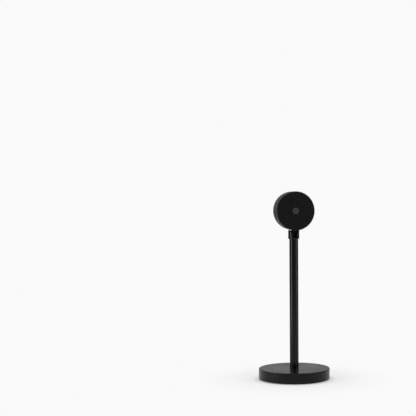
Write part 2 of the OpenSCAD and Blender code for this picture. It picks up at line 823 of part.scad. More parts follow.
// Screws into the drum, and clamps lens, filter, funnel and heat spreader on the ledge
module front_bezel() {
    spigot_r = bore_r - fit;
    groove_r = head_r(seam_y) - seam_depth;
    color(head_black) on_beam() rotate_extrude() polygon([
        [spigot_r, shoulder_y], [spigot_r, seam_y], [groove_r, seam_y], [groove_r, seam_y + seam_w],
        [head_r(seam_y + seam_w), seam_y + seam_w], [head_r(front_y - head_edge), front_y - head_edge],
        [head_r(front_y - head_edge) - head_edge, front_y], [mouth_r, front_y],
        [lip_r, lip_y + lip_t], [lip_r, lip_y], [spigot_bore_r, lip_y], [spigot_bore_r, shoulder_y]
    ]);
}

// Two leads from the tongue's groove, through the hollow stud and back to the driver board
module head_lead() {
    start_z = pivot_z - 0.6;
    rise = head_z - turn_r - turn_bend - groove_top_z - 2 * cross_bend;
    back_l = -(driver_y + driver_t) - turn_bend;
    translate([0, groove_y, start_z]) lead_pair([
        [groove_top_z - start_z, 0], [cross_bend, 90], [cross_bend, -90],
        [rise, 0], [turn_bend, -90], [back_l, 0]
    ]);
}

// ---- Button ----

module button_cap() {
    face_y = rear_y - button_proud;
    edge = 0.3;
    color(button_grey) on_beam() difference() {
        union() {
            translate([0, 0, face_y]) rotate_extrude() polygon([
                [0, 0], [button_d / 2 - edge, 0], [button_d / 2, edge],
                [button_d / 2, button_inner_y - face_y - weld], [0, button_inner_y - face_y - weld]
            ]);
            translate([0, 0, button_inner_y - flange_t]) cylinder(d = flange_d, h = flange_t);
        }
        translate([0, 0, face_y - past]) cylinder(d = dimple_d, h = past + 0.4);
    }
}

module switch_plunger() {
    color(white) on_beam() translate([0, 0, plunger_y])
        cylinder(d = plunger_d, h = switch_back_y + 0.4 - plunger_y);
}

base_shell();
ballast();
bottom_plate();
foot_pad();
plate_screws();
inlet_shell();
inlet_insert();
power_board();
board_screws();
pole_nipple();
nipple_washer();
nipple_nut();
pole_tube();
pole_plug();
swivel_bush();
slip_washer();
supply_lead();
neck_yoke();
spring_washer();
ring_nut();
tilt_bolt();
tilt_nut();
friction_washers();
tilt_lug();
lug_nut();
head_housing();
driver_board();
driver_screws();
switch_body();
heat_spreader();
led_board();
led_screws();
led_emitter();
led_leads();
light_funnel();
filter_glass();
projection_lens();
lens_gasket();
front_bezel();
head_lead();
button_cap();
switch_plunger();
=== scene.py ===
# %% [markdown]
# # Dressing a sunset projection lamp
#
# The lamp is a small table lamp: a heavy round base, a slim pole, a forked neck that swivels and
# tilts, and a drum that throws a coloured beam through a lens. Its solids come from the packed
# model, so this script never moves them. They already have every visible form, down to the screws,
# the leads and the tongue of the power inlet, so no piece has to be replaced. The script adds the
# stage, the camera, the light and the finishes. All lengths are in metres.

from math import cos, pi, radians, sin

import bmesh
import bpy
from mathutils import Matrix, Vector


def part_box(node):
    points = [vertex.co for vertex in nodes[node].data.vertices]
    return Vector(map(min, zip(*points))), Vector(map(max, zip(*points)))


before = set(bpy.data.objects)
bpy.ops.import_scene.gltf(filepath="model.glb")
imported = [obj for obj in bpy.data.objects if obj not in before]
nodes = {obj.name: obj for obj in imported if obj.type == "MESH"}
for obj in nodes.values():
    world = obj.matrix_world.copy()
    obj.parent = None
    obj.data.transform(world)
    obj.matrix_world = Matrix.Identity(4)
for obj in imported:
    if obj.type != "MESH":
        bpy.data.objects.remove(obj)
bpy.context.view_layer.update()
MM = 0.001


# %% [markdown]
# ## Where things are
#
# Finishes such as turning marks and the colour filter are centred on an axis of the lamp. The axes
# could be typed in, but then they would have to be typed again after each change of the solids.
# They are read from the solids instead: the beam's axis is the middle of the drum, and the hinge is
# the middle of the tilt bolt.

# %% Read the lamp's axes from its solids


def middle(node):
    """The middle of a node's box."""
    low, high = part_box(node)
    return (low + high) / 2


BEAM = Vector((0, 0, middle("head_housing").z))
HINGE = Vector((0, 0, middle("tilt_bolt").z))
LENS_R = (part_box("projection_lens")[1].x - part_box("projection_lens")[0].x) / 2
print("beam height:", round(BEAM.z, 5), "hinge height:", round(HINGE.z, 5), "lens radius:", round(LENS_R, 5))

# %% [markdown]
# ## Camera
#
# The lamp is seen from behind and a little from its left, from just above the drum. Its base shows
# as an ellipse that is even on both sides, so the lens pointed straight at the lamp, and the picture
# was cut off-centre afterwards. Turning the camera would shear that ellipse. A lens shift moves the
# frame the way a cut does, and it is just as large as the picture's cut.

# %% Place the camera
VIEW_AZIMUTH = radians(-15.3)
VIEW_DISTANCE = 1.7
VIEW_HEIGHT = 0.2856
VIEW_LENS = 104.62
TILT_DOWN = radians(1.497)
ROLL = radians(-0.235)
PICTURE_WIDTH = 416
LENS_CENTRE = 293.62

camera_data = bpy.data.cameras.new("camera")
camera_data.sensor_width = 36
camera_data.lens = VIEW_LENS
camera_data.shift_x = 0.5 - LENS_CENTRE / PICTURE_WIDTH
camera = bpy.data.objects.new("camera", camera_data)
bpy.context.scene.collection.objects.link(camera)
camera.matrix_world = (
    Matrix.Translation((sin(VIEW_AZIMUTH) * VIEW_DISTANCE, -cos(VIEW_AZIMUTH) * VIEW_DISTANCE, VIEW_HEIGHT))
    @ Matrix.Rotation(VIEW_AZIMUTH, 4, "Z")
    @ Matrix.Rotation(pi / 2 - TILT_DOWN, 4, "X")
    @ Matrix.Rotation(ROLL, 4, "Z")
)
bpy.context.scene.camera = camera
bpy.context.scene.view_settings.view_transform = "Standard"
print("camera at", [round(number, 3) for number in camera.matrix_world.translation])
print("lens shift:", round(camera_data.shift_x, 4))

# %% [markdown]
# ## Building materials
#
# Each material is one Principled shader with procedural nodes in front of it. Typing out every
# node and link by hand hides what a material does, so a few short helpers do the wiring. The first
# two add a node and fill its sockets, either with a plain value or with a link from another node.

# %% Helpers: nodes


def fill(tree, node, inputs):
    """Fills sockets of a node. An input is a plain value, or an output socket to link."""
    for name, value in inputs.items():
        if isinstance(value, bpy.types.NodeSocket):
            tree.links.new(value, node.inputs[name])
        else:
            node.inputs[name].default_value = value


def add_node(tree, kind, inputs=None, **settings):
    """Adds a node, such as a Math node with its operation as a setting."""
    node = tree.nodes.new(kind)
    for name, value in settings.items():
        setattr(node, name, value)
    fill(tree, node, inputs or {})
    return node


print("node helpers:", fill.__name__, add_node.__name__)

# %% [markdown]
# Most masks and heights are sums of simpler ones: two are multiplied, a value is spread over a new
# range, or a vector gives up one of its coordinates. Each of these is one node. A helper with a
# plain name keeps such a sum readable, and it can be used inside another.

# %% Helpers: sums


def calculate(tree, operation, first, second=0.0, clamp=False):
    """One Math node, for instance to multiply two masks."""
    node = add_node(tree, "ShaderNodeMath", {0: first, 1: second}, operation=operation, use_clamp=clamp)
    return node.outputs[0]


def combine(tree, operation, *vectors):
    """One Vector Math node. A length and a dot product are values, the rest are vectors."""
    node = add_node(tree, "ShaderNodeVectorMath", dict(enumerate(vectors)), operation=operation)
    return node.outputs["Value" if operation in ("LENGTH", "DOT_PRODUCT") else "Vector"]


def spread(tree, value, low, high, start=0.0, end=1.0):
    """Spreads a value that runs from start to end over the range from low to high."""
    inputs = {"Value": value, "From Min": start, "From Max": end, "To Min": low, "To Max": high}
    return add_node(tree, "ShaderNodeMapRange", inputs).outputs["Result"]


def along(tree, vector, axis):
    """One coordinate of a vector: X, Y or Z."""
    return add_node(tree, "ShaderNodeSeparateXYZ", {0: vector}).outputs[axis]


print("sum helpers:", [helper.__name__ for helper in (calculate, combine, spread, along)])

# %% [markdown]
# Every pattern has to know where on the piece it is. Object coordinates are metres from the lamp's
# own origin, so they stay on the piece when a joint moves it, and a size in a pattern is a real
# size. An even colour is written once for all three channels.

# %% Helpers: places, colours and new materials


def object_place(tree, offset=(0, 0, 0), turn=(0, 0, 0)):
    """Object coordinates, moved so that offset becomes the origin, and then turned."""
    coordinate = tree.nodes.new("ShaderNodeTexCoord").outputs["Object"]
    if (offset, turn) == ((0, 0, 0), (0, 0, 0)):
        return coordinate
    moved = combine(tree, "ADD", coordinate, tuple(-number for number in offset))
    return add_node(tree, "ShaderNodeMapping", {"Vector": moved, "Rotation": turn}).outputs["Vector"]


def grey(level):
    """An even colour of one level."""
    return (level, level, level, 1)


def new_material(name, **shader_values):
    """A material with one Principled shader, whose sockets get the given values."""
    material = bpy.data.materials.new(name)
    material.use_nodes = True
    tree = material.node_tree
    tree.nodes.clear()
    shader = tree.nodes.new("ShaderNodeBsdfPrincipled")
    output = tree.nodes.new("ShaderNodeOutputMaterial")
    tree.links.new(shader.outputs["BSDF"], output.inputs["Surface"])
    fill(tree, shader, {socket.replace("_", " "): value for socket, value in shader_values.items()})
    return material, tree, shader


print("material helpers:", [helper.__name__ for helper in (object_place, grey, new_material)])

# %% [markdown]
# ## Stage: floor and white surroundings
#
# A product picture stands on a white sweep, a paper that curves up behind the lamp. The curve could
# be modelled too, but where the floor and the world behind it are equally white, a flat floor looks
# the same. It is stage and not lamp.

# %% Lay the floor
FLOOR_REACH = 12

floor_mesh = bmesh.new()
bmesh.ops.create_grid(floor_mesh, x_segments=1, y_segments=1, size=FLOOR_REACH)
floor_data = bpy.data.meshes.new("floor")
floor_mesh.to_mesh(floor_data)
floor_mesh.free()
floor = bpy.data.objects.new("floor", floor_data)
bpy.context.scene.collection.objects.link(floor)
print("floor faces:", len(floor_data.polygons), "reaching", FLOOR_REACH, "m to each side")

# %% [markdown]
# A real sweep needs a great deal of light to turn pure white, which would wash out a black lamp. So
# the floor adds its own white for camera rays and for rays through the lens, and keeps an ordinary
# pale surface for everything else. Mirror-like rays get only a tenth of that white, because all of
# it would draw bright lines down the dark edges of the pole and the base. The world further below
# uses the same rule. Near the lamp a large share of the floor stays ordinary, so that the lamp's
# shadow shows. That share fades with distance, which hides where the floor ends.

# %% Whiten the floor
BACKDROP = grey(0.955)
PALE_FLOOR = grey(0.79)
MIRRORED = 0.1
SHADOW_SHARE = 0.8
SHADOW_NEAR, SHADOW_FAR = 0.055, 0.14


def sees_backdrop(tree):
    """The share of the white that a ray gets: all of it from the camera and through glass."""
    rays = tree.nodes.new("ShaderNodeLightPath").outputs
    mirrored = calculate(tree, "MULTIPLY", rays["Is Glossy Ray"], MIRRORED)
    direct = calculate(tree, "MAXIMUM", rays["Is Camera Ray"], rays["Is Transmission Ray"])
    return calculate(tree, "MAXIMUM", direct, mirrored)


floor_material, tree, shader = new_material(
    "white_sweep", Base_Color=PALE_FLOOR, Roughness=0.9, Specular_IOR_Level=0.0
)
glow = add_node(tree, "ShaderNodeEmission", {"Color": BACKDROP})
from_lamp = combine(tree, "LENGTH", object_place(tree))
share = spread(tree, from_lamp, SHADOW_SHARE, 0.0, start=SHADOW_NEAR, end=SHADOW_FAR)
white = calculate(tree, "MULTIPLY", sees_backdrop(tree), calculate(tree, "SUBTRACT", 1.0, share))
both = add_node(
    tree, "ShaderNodeMixShader", {0: white, 1: shader.outputs["BSDF"], 2: glow.outputs["Emission"]}
)
tree.links.new(both.outputs["Shader"], tree.nodes["Material Output"].inputs["Surface"])
floor_data.materials.append(floor_material)
print("floor share that takes shadows:", SHADOW_SHARE, "fading out at", SHADOW_FAR, "m")

# %% [markdown]
# ## Light
#
# Black satin paint is almost all reflection, so what surrounds the lamp draws its shape. The
# picture has white behind the lamp and a dark room behind the camera, which leaves the rear of the
# drum nearly black. A room could be built from walls, but a world that goes from dark to bright is
# the same to the lamp, and quicker. It is dark towards the camera and bright towards the back.

# %% Light the room
ROOM_DARK = grey(0.02)
ROOM_BRIGHT = grey(0.48)
DARK_UP_TO, BRIGHT_FROM = -0.1, 0.9


def blend_colours(tree, mask, first, second):
    """Goes from the first colour to the second as the mask goes from 0 to 1."""
    node = add_node(tree, "ShaderNodeMix", {0: mask, 6: first, 7: second}, data_type="RGBA")
    return node.outputs[2]


world = bpy.data.worlds.new("white_room")
bpy.context.scene.world = world
world.use_nodes = True
tree = world.node_tree
tree.nodes.clear()
direction = tree.nodes.new("ShaderNodeTexCoord").outputs["Generated"]
behind = spread(tree, along(tree, direction, "Y"), 0, 1, start=DARK_UP_TO, end=BRIGHT_FROM)
room = blend_colours(tree, behind, ROOM_DARK, ROOM_BRIGHT)
colour = blend_colours(tree, sees_backdrop(tree), room, BACKDROP)
background = add_node(tree, "ShaderNodeBackground", {"Color": colour, "Strength": 1.0})
output = tree.nodes.new("ShaderNodeOutputWorld")
tree.links.new(background.outputs["Background"], output.inputs["Surface"])
print("room from", ROOM_DARK[0], "to", ROOM_BRIGHT[0])

# %% [markdown]
# The soft boxes are area lights: a low one on the left, a broader one on the right and a wide one
# overhead. The widths of the first two set how broad the bright stripes down the pole are. The left
# one stays low and dim, because from the other side the top of the base mirrors it. The one
# overhead lights the floor evenly and makes the soft shadow round the base.

# %% Hang the soft boxes
LIGHTS_AIM = Vector((0, 0, 0.14))


def soft_box(name, azimuth, elevation, distance, width, height, power):
    """A rectangular light that faces the lamp. Azimuth 0 is the camera's side, 90 is its right."""
    data = bpy.data.lights.new(name, "AREA")
    data.shape = "RECTANGLE"
    data.size, data.size_y = width, height
    data.energy = power
    light = bpy.data.objects.new(name, data)
    bpy.context.scene.collection.objects.link(light)
    angle, lift = radians(azimuth), radians(elevation)
    out = Vector((sin(angle) * cos(lift), -cos(angle) * cos(lift), sin(lift)))
    light.location = LIGHTS_AIM + out * distance
    light.rotation_euler = out.to_track_quat("Z", "Y").to_euler()
    light.visible_camera = False


soft_box("soft_box_left", azimuth=-81, elevation=2, distance=0.6, width=0.25, height=0.4, power=1.65)
soft_box("soft_box_right", azimuth=56, elevation=14, distance=0.7, width=0.5, height=0.6, power=1.7)
soft_box("soft_box_top", azimuth=0, elevation=90, distance=1.2, width=1.6, height=1.6, power=20.5)
print("lights in watts:", {light.name: round(light.energy, 2) for light in bpy.data.lights})

# %% [markdown]
# ## Groups
#
# The same effect, such as paint's fine waves, goes into several materials. Its nodes could be made
# again in each, but a node group is made once, has a name, and gets its own values in each
# material. The groups put out values and normals only, and the shader stays in the material.

# %% Helpers: groups


def new_group(name, inputs, outputs):
    """An empty group, and its two ends: the sockets that bring values in, and the last node."""
    group = bpy.data.node_groups.new(name, "ShaderNodeTree")
    for label, value in inputs.items():
        kind = "NodeSocketVector" if isinstance(value, tuple) else "NodeSocketFloat"
        group.interface.new_socket(label, in_out="INPUT", socket_type=kind).default_value = value
    for label in outputs:
        kind = "NodeSocketVector" if label == "Normal" else "NodeSocketFloat"
        group.interface.new_socket(label, in_out="OUTPUT", socket_type=kind)
    return group, group.nodes.new("NodeGroupInput").outputs, group.nodes.new("NodeGroupOutput")


def use_group(tree, group, **inputs):
    """Places a group in a material and fills its inputs."""
    node = add_node(tree, "ShaderNodeGroup", node_tree=group)
    fill(tree, node, {name.replace("_", " "): value for name, value in inputs.items()})
    return node.outputs


print("group helpers:", new_group.__name__, use_group.__name__)

# %% [markdown]
# Two patterns make nearly every surface here. A noise is soft and has no fixed size, like clouds,
# waves and rough sand. Voronoi cells lie next to each other in one even size, like the pebble of a
# mould, bubbles in foam and crystals of zinc. Images could do both, but they blur up close.

# %% Helpers: patterns


def noise(tree, place, scale, **more):
    """A soft random pattern. Scale is about the number of its bumps in a metre."""
    return add_node(tree, "ShaderNodeTexNoise", {"Vector": place, "Scale": scale, **more}).outputs[0]


def cells(tree, place, scale, inputs=None, output="Distance", **settings):
    """A pattern of cells: how far the nearest cell's middle is, or a colour for each cell."""
    inputs = {"Vector": place, "Scale": scale, **(inputs or {})}
    return add_node(tree, "ShaderNodeTexVoronoi", inputs, **settings).outputs[output]


print("pattern helpers:", noise.__name__, cells.__name__)

# %% [markdown]
# ## Powder coat
#
# Nearly every piece in view has the same black powder coat. Baked powder flows into a fine orange
# peel, about a millimetre from crest to crest and a few thousandths deep, with a much finer grain
# on top. It also varies slowly in gloss. One noise could only make one of these sizes, so three
# noises of different scales make them, and each painted material takes them with its own values.

# %% Group: powder coat
PEEL_SIZE = 1.1 * MM
GRAIN_FINER = 4.5
GLOSS_CLOUDS = 45.0

powder_coat, given, result = new_group(
    "powder_coat",
    {"Vector": (0.0, 0.0, 0.0), "Peel Size": PEEL_SIZE, "Grain Share": 0.3},
    ("Height", "Gloss", "Tone"),
)
peel_scale = calculate(powder_coat, "DIVIDE", 1.0, given["Peel Size"])
grain_scale = calculate(powder_coat, "MULTIPLY", peel_scale, GRAIN_FINER)
peel = noise(powder_coat, given["Vector"], peel_scale, Detail=1.5)
grain = noise(powder_coat, given["Vector"], grain_scale, Detail=2.0)
clouds = noise(powder_coat, given["Vector"], GLOSS_CLOUDS, Detail=3.0)
height = calculate(powder_coat, "ADD", peel, calculate(powder_coat, "MULTIPLY", grain, given["Grain Share"]))
both = calculate(powder_coat, "ADD", grain, clouds)
tone = spread(powder_coat, both, 0.86, 1.14, start=0.7, end=1.3)
fill(powder_coat, result, {"Height": height, "Gloss": clouds, "Tone": tone})
print("powder coat nodes:", len(powder_coat.nodes))

# %% [markdown]
# ## Edges
#
# No made edge is perfectly sharp. A bare one is broken by about two tenths of a millimetre, paint
# rounds it to about five, and that narrow round catches a thin line of light. Rounding every edge in
# the mesh would add many faces, so a Bevel node bends only the normal near an edge. Where that
# rounded normal differs from the real one, the surface turns sharply, which is also where paint
# thins out and handling polishes it. So one group puts out both the rounded normal and a mask of
# the edges. The painted pieces also use that mask for a painted highlight along their edges.

# %% Group: soft edges
PAINTED_EDGE, BARE_EDGE = 0.5 * MM, 0.2 * MM
FULL_EDGE, NO_EDGE = 0.80, 0.995

soft_edge, given, result = new_group("soft_edge", {"Width": PAINTED_EDGE}, ("Edge", "Normal"))
rounded = add_node(soft_edge, "ShaderNodeBevel", {"Radius": given["Width"]}, samples=6).outputs["Normal"]
true_normal = soft_edge.nodes.new("ShaderNodeNewGeometry").outputs["Normal"]
agreement = combine(soft_edge, "DOT_PRODUCT", rounded, true_normal)
edge = spread(soft_edge, agreement, 1, 0, start=FULL_EDGE, end=NO_EDGE)
fill(soft_edge, result, {"Edge": edge, "Normal": rounded})
print("soft edges in mm: painted", PAINTED_EDGE / MM, "bare", BARE_EDGE / MM)

# %% [markdown]
# ## Putting a finish on a piece
#
# A finish goes on a solid through its material slot, which leaves the mesh alone. Rubbed places and
# streaks are a lighter or darker version of the same colour, because that is what wear and flow do
# to a real surface. On paint the lighter edges are also a painted highlight. A bump is given its
# real height, so that the same paint looks the same on a large and on a small piece.

# %% Helpers: finishes
MICRON = 0.001 * MM


def dress(material, *names):
    """Puts a material on CAD nodes."""
    for name in names:
        slots = nodes[name].data.materials
        slots.clear()
        slots.append(material)


def lightened(colour, factor, lift):
    """A lighter colour for an edge, multiplied and lifted a little: wear, and on paint also a painted
    highlight.
    """
    return tuple(min(1, number * factor + lift) for number in colour[:3]) + (1,)


def shaded(tree, value, colour):
    """A colour made darker or lighter by a value around 1."""
    return add_node(tree, "ShaderNodeHueSaturation", {"Value": value, "Color": colour}).outputs[0]


def set_bump(tree, shader, height, depth, normal=None):
    """Gives the shader a bump. depth is the real height, in metres, of a change from 0 to 1."""
    bump = add_node(tree, "ShaderNodeBump", {"Height": height, "Distance": depth})
    if normal:
        fill(tree, bump, {"Normal": normal})
    fill(tree, shader, {"Normal": bump.outputs["Normal"]})


print("finish helpers:", [helper.__name__ for helper in (dress, lightened, shaded, set_bump)])

# %% [markdown]
# With the groups ready, a painted material is a few lines. Base, pole, neck, drum and bezel were
# coated in different batches and have different curves, so each has its own tone, gloss and peel.

# %% Paint the metal
PAINT_SHINE = 0.2
PAINT_EDGE_HIGHLIGHT_AND_WEAR = 0.3


def paint(name, colour, roughness, depth, peel_size=PEEL_SIZE):
    """A powder coat, smoother at its edges and lighter there: paint thinned and rubbed, and a painted
    highlight.
    """
    material, tree, shader = new_material(name, Specular_IOR_Level=PAINT_SHINE)
    coat = use_group(tree, powder_coat, Vector=object_place(tree), Peel_Size=peel_size)
    edges = use_group(tree, soft_edge)
    edge_lift = calculate(tree, "MULTIPLY", edges["Edge"], PAINT_EDGE_HIGHLIGHT_AND_WEAR)
    gloss = spread(tree, coat["Gloss"], roughness - 0.03, roughness + 0.03, start=0.35, end=0.65)
    gloss = calculate(tree, "SUBTRACT", gloss, calculate(tree, "MULTIPLY", edge_lift, 0.1))
    # lighter edges: a painted highlight, and paint thinned and rubbed there
    coloured = blend_colours(tree, edge_lift, shaded(tree, coat["Tone"], colour), lightened(colour, 1.8, 0.004))
    fill(tree, shader, {"Base Color": coloured, "Roughness": gloss})
    set_bump(tree, shader, coat["Height"], depth, normal=edges["Normal"])
    return material


dress(paint("base_powder_coat", grey(0.003), 0.27, 5 * MICRON), "base_shell")
dress(paint("pole_powder_coat", grey(0.003), 0.17, 2.5 * MICRON, peel_size=0.9 * MM), "pole_tube")
dress(paint("neck_powder_coat", grey(0.003), 0.24, 3 * MICRON, peel_size=0.8 * MM), "neck_yoke", "tilt_lug")
dress(paint("drum_powder_coat", grey(0.003), 0.42, 8 * MICRON), "head_housing")
dress(paint("bezel_powder_coat", grey(0.0035), 0.30, 6 * MICRON), "front_bezel")
print("painted nodes:", [n for n, o in nodes.items() if o.data.materials[0].name.endswith("powder_coat")])

# %% [markdown]
# ## Moulded plastic
#
# The button, the funnel behind the lens, the washers in the neck and the core of the inlet are
# moulded. A mould that was finished by spark erosion leaves a fine, even pebble of about a quarter
# of a millimetre, and the plastic flows in with faint cloudy streaks. Voronoi cells make the pebble,
# because a plain noise has no such even size.

# %% Group: moulded grain
GRAIN_SIZE = 0.25 * MM
DIMPLE_COARSER = 0.4
STREAKS, STREAK_DRAWN_OUT = 320.0, (1, 1, 0.25)

moulded_grain, given, result = new_group(
    "moulded_grain", {"Vector": (0.0, 0.0, 0.0), "Grain Size": GRAIN_SIZE}, ("Height", "Gloss", "Streak")
)
pebble_scale = calculate(moulded_grain, "DIVIDE", 1.0, given["Grain Size"])
dimple_scale = calculate(moulded_grain, "MULTIPLY", pebble_scale, DIMPLE_COARSER)
pebbles = cells(moulded_grain, given["Vector"], pebble_scale, {"Smoothness": 0.6}, feature="SMOOTH_F1")
dimples = noise(moulded_grain, given["Vector"], dimple_scale, Detail=2.0)
flow = {"Vector": given["Vector"], "Scale": STREAK_DRAWN_OUT}
flow = add_node(moulded_grain, "ShaderNodeMapping", flow).outputs["Vector"]
streaks = noise(moulded_grain, flow, STREAKS, Detail=3.0, Distortion=0.6)
height = calculate(moulded_grain, "ADD", pebbles, calculate(moulded_grain, "MULTIPLY", dimples, 0.5))
fill(moulded_grain, result, {"Height": height, "Gloss": dimples, "Streak": streaks})
print("moulded grain nodes:", len(moulded_grain.nodes))

# %% [markdown]
# Each plastic piece has its own colour and gloss. The button is a shade lighter than the paint
# round it, because dyed plastic never gets as black. The plunger and the washers are acetal, which
# is slippery and wears well. Worn edges are only slightly lighter, since the dye goes all through.

# %% Mould the plastic
PLASTIC_RUB = 0.25


def plastic(name, colour, roughness, grain_size=GRAIN_SIZE, depth=12 * MICRON, streak=0.12, **shader_values):
    """A moulded plastic. A streak of 0.1 varies its colour by a tenth."""
    material, tree, shader = new_material(name, **shader_values)
    grain = use_group(tree, moulded_grain, Vector=object_place(tree), Grain_Size=grain_size)
    edges = use_group(tree, soft_edge, Width=BARE_EDGE)
    value = spread(tree, grain["Streak"], 1 - streak, 1 + streak, start=0.3, end=0.7)
    edge_lift = calculate(tree, "MULTIPLY", edges["Edge"], PLASTIC_RUB)
    coloured = blend_colours(tree, edge_lift, shaded(tree, value, colour), lightened(colour, 1.3, 0.002))
    gloss = spread(tree, grain["Gloss"], roughness - 0.04, roughness + 0.04, start=0.3, end=0.7)
    fill(tree, shader, {"Base Color": coloured, "Roughness": gloss})
    set_bump(tree, shader, grain["Height"], depth, normal=edges["Normal"])
    return material


dress(plastic("button_plastic", grey(0.026), 0.46, streak=0.06), "button_cap")
dress(plastic("funnel_plastic", grey(0.012), 0.62, depth=20 * MICRON), "light_funnel")
dress(plastic("switch_plastic", (0.02, 0.02, 0.021, 1), 0.40), "switch_body")
dress(
    plastic("acetal_plunger", (0.75, 0.73, 0.68, 1), 0.34, streak=0.04, Subsurface_Weight=0.1),
    "switch_plunger",
)
dress(
    plastic("acetal_washers", grey(0.018), 0.32, grain_size=0.4 * MM, depth=5 * MICRON),
    "slip_washer", "friction_washers",
)
for name in ("button_cap", "light_funnel", "switch_body", "switch_plunger", "slip_washer"):
    print(name, "is of", nodes[name].data.materials[0].name)

# %% [markdown]
# ## Turned metal
#
# Bushes, studs, washers and the aluminium plate behind the light are turned on a lathe, so fine
# rings from the tool's tip run round their axis: circles on a face, and a fine screw on a side. One
# wave of the radius plus the height along the axis gives both. The axis is always local Z in the
# group, and each material turns its coordinates so that this is so.

# %% Group: turned rings
RING_PITCH = 0.18 * MM
WAVER_SCALE, TOOL_MARKS = 260.0, 1500.0


def from_axis(tree, place):
    """How far a place is from the Z axis."""
    return combine(tree, "LENGTH", combine(tree, "MULTIPLY", place, (1.0, 1.0, 0.0)))


turned_rings, given, result = new_group(
    "turned_rings", {"Vector": (0.0, 0.0, 0.0), "Pitch": RING_PITCH, "Waver": 0.35}, ("Height", "Gloss")
)
radius = from_axis(turned_rings, given["Vector"])
travel = calculate(turned_rings, "ADD", radius, along(turned_rings, given["Vector"], "Z"))
turns = calculate(turned_rings, "DIVIDE", travel, given["Pitch"])
waver = noise(turned_rings, given["Vector"], WAVER_SCALE)
turns = calculate(turned_rings, "ADD", turns, calculate(turned_rings, "MULTIPLY", waver, given["Waver"]))
ridge = calculate(turned_rings, "PINGPONG", turns, 0.5)
tool_place = {"W": calculate(turned_rings, "MULTIPLY", travel, TOOL_MARKS), "Detail": 2.0}
tool = add_node(turned_rings, "ShaderNodeTexNoise", tool_place, noise_dimensions="1D").outputs[0]
fill(turned_rings, result, {"Height": calculate(turned_rings, "MULTIPLY", ridge, tool), "Gloss": tool})
print("turned rings nodes:", len(turned_rings.nodes))

# %% [markdown]
# Bare metal is never one clean colour: its skin has clouds of oxide, grease and handling. A second
# group makes them at two scales, for every bare metal in the lamp.

# %% Group: tarnish
CLOUD_SIZE = 4 * MM
SPECK_FINER = 3.0

tarnish, given, result = new_group(
    "tarnish", {"Vector": (0.0, 0.0, 0.0), "Cloud Size": CLOUD_SIZE}, ("Cloud", "Speck")
)
cloud_scale = calculate(tarnish, "DIVIDE", 1.0, given["Cloud Size"])
speck_scale = calculate(tarnish, "MULTIPLY", cloud_scale, SPECK_FINER)
clouds = noise(tarnish, given["Vector"], cloud_scale, Detail=5.0, Distortion=0.8)
specks = cells(tarnish, given["Vector"], speck_scale, {"Randomness": 1.0})
clouds = spread(tarnish, clouds, 0, 1, start=0.32, end=0.7)
specks = spread(tarnish, specks, 1, 0, start=0.04, end=0.16)
fill(tarnish, result, {"Cloud": clouds, "Speck": specks})
print("tarnish nodes:", len(tarnish.nodes))

# %% [markdown]
# A turned metal puts the rings, the tarnish and the soft edges together. Each metal could be wired
# by itself, but they differ in colour, stain and axis only, so one function makes them all. Tarnish
# blends the colour towards the stain and dulls the shine, and a rubbed edge loses its stain again.

# %% Make a turned metal
CLOUD_SHARE, SPECK_SHARE = 0.6, 0.3
EDGE_POLISH = 0.4


def bare_metal(name, colour, stain, roughness, centre=(0, 0, 0), turn=(0, 0, 0), pitch=RING_PITCH,
               cloud_size=CLOUD_SIZE):
    """A turned metal, clouded towards a stain colour. Its axis passes through centre."""
    material, tree, shader = new_material(name, Metallic=1.0)
    place = object_place(tree, offset=centre, turn=turn)
    rings = use_group(tree, turned_rings, Vector=place, Pitch=pitch)
    skin = use_group(tree, tarnish, Vector=place, Cloud_Size=cloud_size)
    edges = use_group(tree, soft_edge, Width=BARE_EDGE)
    dull = calculate(tree, "MULTIPLY", skin["Cloud"], CLOUD_SHARE)
    dull = calculate(tree, "ADD", dull, calculate(tree, "MULTIPLY", skin["Speck"], SPECK_SHARE), clamp=True)
    polish = calculate(tree, "MULTIPLY", edges["Edge"], EDGE_POLISH)
    coloured = blend_colours(tree, calculate(tree, "SUBTRACT", dull, polish, clamp=True), colour, stain)
    rough = spread(tree, rings["Gloss"], roughness - 0.06, roughness + 0.06, start=0.3, end=0.7)
    rough = calculate(tree, "ADD", rough, calculate(tree, "MULTIPLY", dull, 0.12))
    fill(tree, shader, {"Base Color": coloured, "Roughness": rough})
    set_bump(tree, shader, rings["Height"], 6 * MICRON, normal=edges["Normal"])
    return material


print("metal helper:", bare_metal.__name__, "with rings", round(RING_PITCH / MM, 2), "mm apart")

# %% [markdown]
# The small turned parts are brass where they carry a thread or a bearing, because brass cuts
# cleanly and runs well on steel. Nuts, washers and screws are zinc-plated steel, and the inlet's
# shell is drawn steel. The plate behind the light is aluminium, which leads its heat away, and its
# rings run round the beam.

# %% Turn the metal
FACING_BEAM = (pi / 2, 0, 0)

brass = bare_metal("turned_brass", (0.78, 0.56, 0.24, 1), (0.42, 0.27, 0.11, 1), 0.26)
aluminium = bare_metal(
    "turned_aluminium", (0.80, 0.80, 0.81, 1), (0.60, 0.60, 0.62, 1), 0.30, tuple(BEAM), FACING_BEAM, 0.3 * MM
)
zinc_steel = bare_metal(
    "zinc_plated_steel", (0.66, 0.67, 0.69, 1), (0.46, 0.46, 0.44, 1), 0.30, cloud_size=2 * MM
)
inlet_steel = bare_metal(
    "inlet_steel", (0.62, 0.62, 0.63, 1), (0.42, 0.42, 0.43, 1), 0.24, cloud_size=1.5 * MM
)
dress(brass, "pole_nipple", "pole_plug", "swivel_bush")
dress(aluminium, "heat_spreader")
dress(zinc_steel, "nipple_washer", "nipple_nut", "spring_washer", "ring_nut", "lug_nut")
dress(zinc_steel, "plate_screws", "board_screws", "driver_screws", "led_screws")
dress(inlet_steel, "inlet_shell")
turned = (brass, aluminium, zinc_steel, inlet_steel)
print("nodes of bare metal:", sum(o.data.materials[0] in turned for o in nodes.values()))

# %% [markdown]
# The tilt bolt and its nut are blackened steel. The oxide keeps the tool marks and the shine of the
# steel beneath, so it is a very dark metal and not a paint. Its rings run round the hinge, which lies
# along X.

# %% Blacken the hinge
ALONG_HINGE = (0, -pi / 2, 0)

